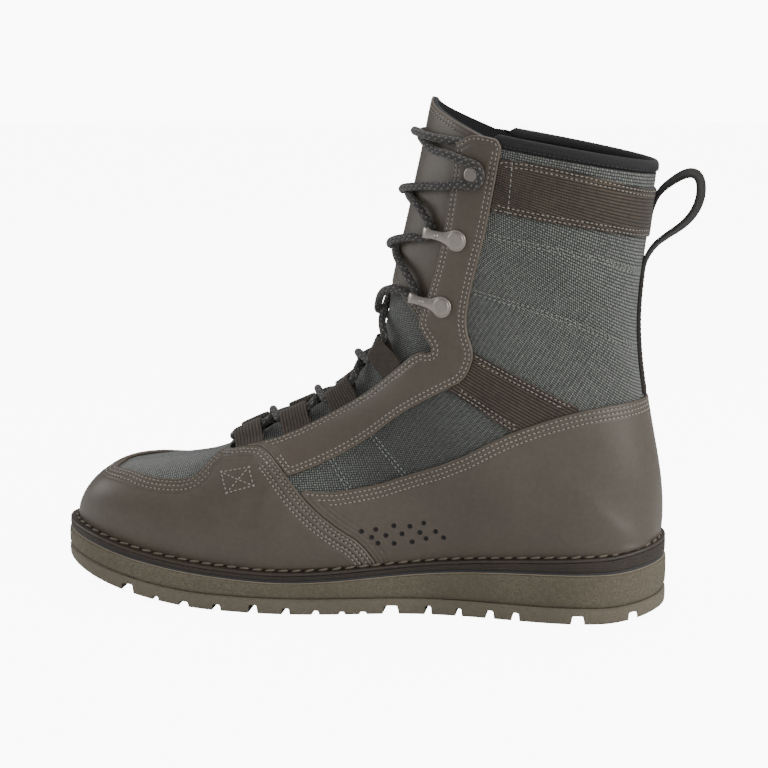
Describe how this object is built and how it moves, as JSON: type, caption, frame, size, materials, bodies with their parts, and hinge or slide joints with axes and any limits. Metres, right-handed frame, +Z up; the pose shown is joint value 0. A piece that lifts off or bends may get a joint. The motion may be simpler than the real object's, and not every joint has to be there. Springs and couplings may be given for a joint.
{
  "type": "wading boot",
  "caption": "Right wading boot with fabric and leather upper, layered wedge sole, laced throat with loops and hooks, and a heel pull loop.",
  "frame": {"origin": "on the floor under the middle of the heel, on the flat of the heel's tread", "axes": "+X from the toe to the heel along the foot, +Y towards the lateral (outer) side, +Z up"},
  "size_m": [0.3258, 0.1092, 0.2541],
  "materials": {
    "leather": "smooth oiled leather, soft matte sheen",
    "fabric": "coarse woven nylon, matte",
    "webbing": "ribbed woven webbing, matte",
    "black_trim": "rolled synthetic binding, matte",
    "lace_cord": "braided round cord, matte",
    "hook_metal": "satin nickel",
    "lug_rubber": "matte rubber",
    "wedge_foam": "fine pebbled foam rubber, matte",
    "dark_rubber": "matte rubber",
    "edge_leather": "waxed leather edge",
    "insole_felt": "felted footbed, matte"
  },
  "bodies": {
    "root": {"outsole": "lug_rubber", "wedge": "wedge_foam", "rubber_midsole": "dark_rubber", "leather_midsole": "edge_leather", "welt": "edge_leather", "insole": "insole_felt", "upper": "fabric", "tongue": "fabric", "vamp_leather": "leather", "quarter_leather": "leather", "eyestay_medial": "leather", "eyestay_lateral": "leather", "strap_medial": "webbing", "strap_lateral": "webbing", "collar_band": "webbing", "collar_binding": "black_trim", "back_strap": "webbing", "hook_medial_lower": "hook_metal", "hook_medial_upper": "hook_metal", "stud_medial": "hook_metal", "loop_medial_1": "webbing", "loop_medial_2": "webbing", "loop_medial_3": "webbing", "loop_medial_4": "webbing", "hook_lateral_lower": "hook_metal", "hook_lateral_upper": "hook_metal", "stud_lateral": "hook_metal", "loop_lateral_1": "webbing", "loop_lateral_2": "webbing", "loop_lateral_3": "webbing", "loop_lateral_4": "webbing", "lace_toe": "lace_cord", "lace_1": "lace_cord", "lace_2": "lace_cord", "lace_3": "lace_cord", "lace_4": "lace_cord", "lace_5": "lace_cord", "lace_6": "lace_cord", "lace_collar": "lace_cord"}
  },
  "joints": []
}
